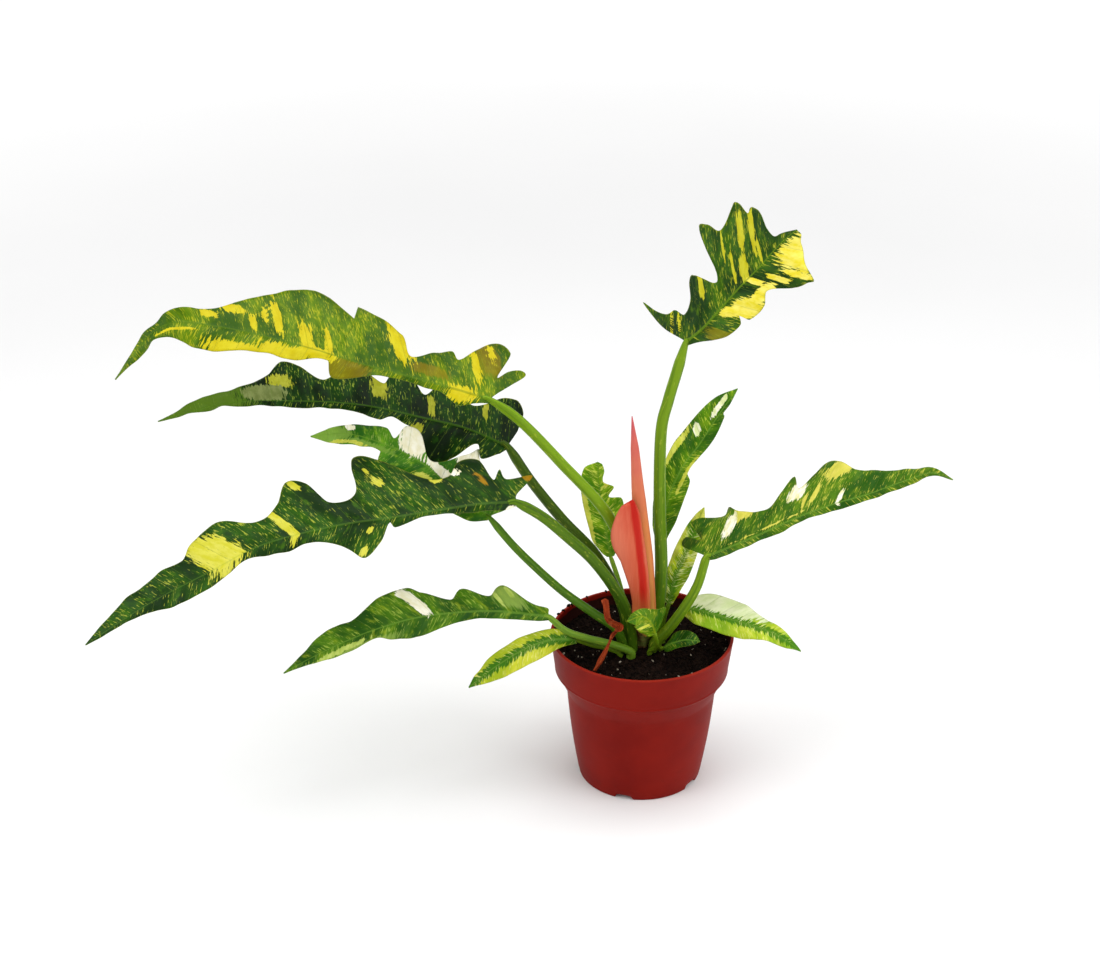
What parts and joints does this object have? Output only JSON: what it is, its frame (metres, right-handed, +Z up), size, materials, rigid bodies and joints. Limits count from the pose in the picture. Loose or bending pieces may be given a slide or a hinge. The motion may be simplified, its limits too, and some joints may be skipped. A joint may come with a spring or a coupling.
{
  "type": "potted philodendron",
  "caption": "Variegated philodendron with long toothed leaves on slender stalks, growing from a tapered round nursery pot.",
  "frame": {"origin": "middle of the pot's flat base, on the surface it stands on", "axes": "+Z up, -Y the front of the plant, +X to the right; the long leaves reach towards -X"},
  "size_m": [0.5296, 0.1786, 0.3954],
  "materials": {
    "pot": "brick-red moulded plastic, semi-matte",
    "soil": "dark moist peat with pale perlite grains",
    "crown": "pale green fleshy stem with papery scars",
    "leaf_upper_left": "satin leaf, green with yellow and cream variegation",
    "leaf_dark": "satin leaf, green with yellow and cream variegation",
    "leaf_lower_left": "satin leaf, green with yellow and cream variegation",
    "leaf_cream_half": "satin leaf, green with yellow and cream variegation",
    "leaf_low_left": "satin leaf, green with yellow and cream variegation",
    "leaf_yellow_low": "satin leaf, green with yellow and cream variegation",
    "leaf_back_left": "satin leaf, green with yellow and cream variegation",
    "leaf_top": "satin leaf, green with yellow and cream variegation",
    "leaf_back_right": "satin leaf, green with yellow and cream variegation",
    "leaf_bright_small": "satin leaf, green with yellow and cream variegation",
    "leaf_right_long": "satin leaf, green with yellow and cream variegation",
    "leaf_right_low": "satin leaf, green with yellow and cream variegation",
    "leaf_front_small": "satin leaf, green with yellow and cream variegation",
    "leaf_low_dark": "satin leaf, green with yellow and cream variegation",
    "stalk": "smooth fleshy petiole, green with pale streaks",
    "new_growth": "soft pink and salmon, smooth",
    "sheath": "pink-red sheath, smooth",
    "dried_sheath": "dry red-brown, papery"
  },
  "bodies": {
    "root": {"nursery_pot": "pot", "potting_soil": "soil", "crown_stem": "crown", "leaf_upper_left": "leaf_upper_left", "leaf_dark": "leaf_dark", "leaf_lower_left": "leaf_lower_left", "leaf_cream_half": "leaf_cream_half", "leaf_low_left": "leaf_low_left", "leaf_yellow_low": "leaf_yellow_low", "leaf_back_left": "leaf_back_left", "leaf_top": "leaf_top", "leaf_back_right": "leaf_back_right", "leaf_bright_small": "leaf_bright_small", "leaf_right_long": "leaf_right_long", "leaf_right_low": "leaf_right_low", "leaf_front_small": "leaf_front_small", "leaf_low_dark": "leaf_low_dark", "stalk_upper_left": "stalk", "stalk_dark": "stalk", "stalk_lower_left": "stalk", "stalk_cream_half": "stalk", "stalk_low_left": "stalk", "stalk_yellow_low": "stalk", "stalk_back_left": "stalk", "stalk_top": "stalk", "stalk_back_right": "stalk", "stalk_bright_small": "stalk", "stalk_right_long": "stalk", "stalk_right_low": "stalk", "stalk_front_small": "stalk", "stalk_low_dark": "stalk", "new_leaf_roll": "new_growth", "new_leaf_sheath": "sheath", "dried_sheath": "dried_sheath"}
  },
  "joints": []
}
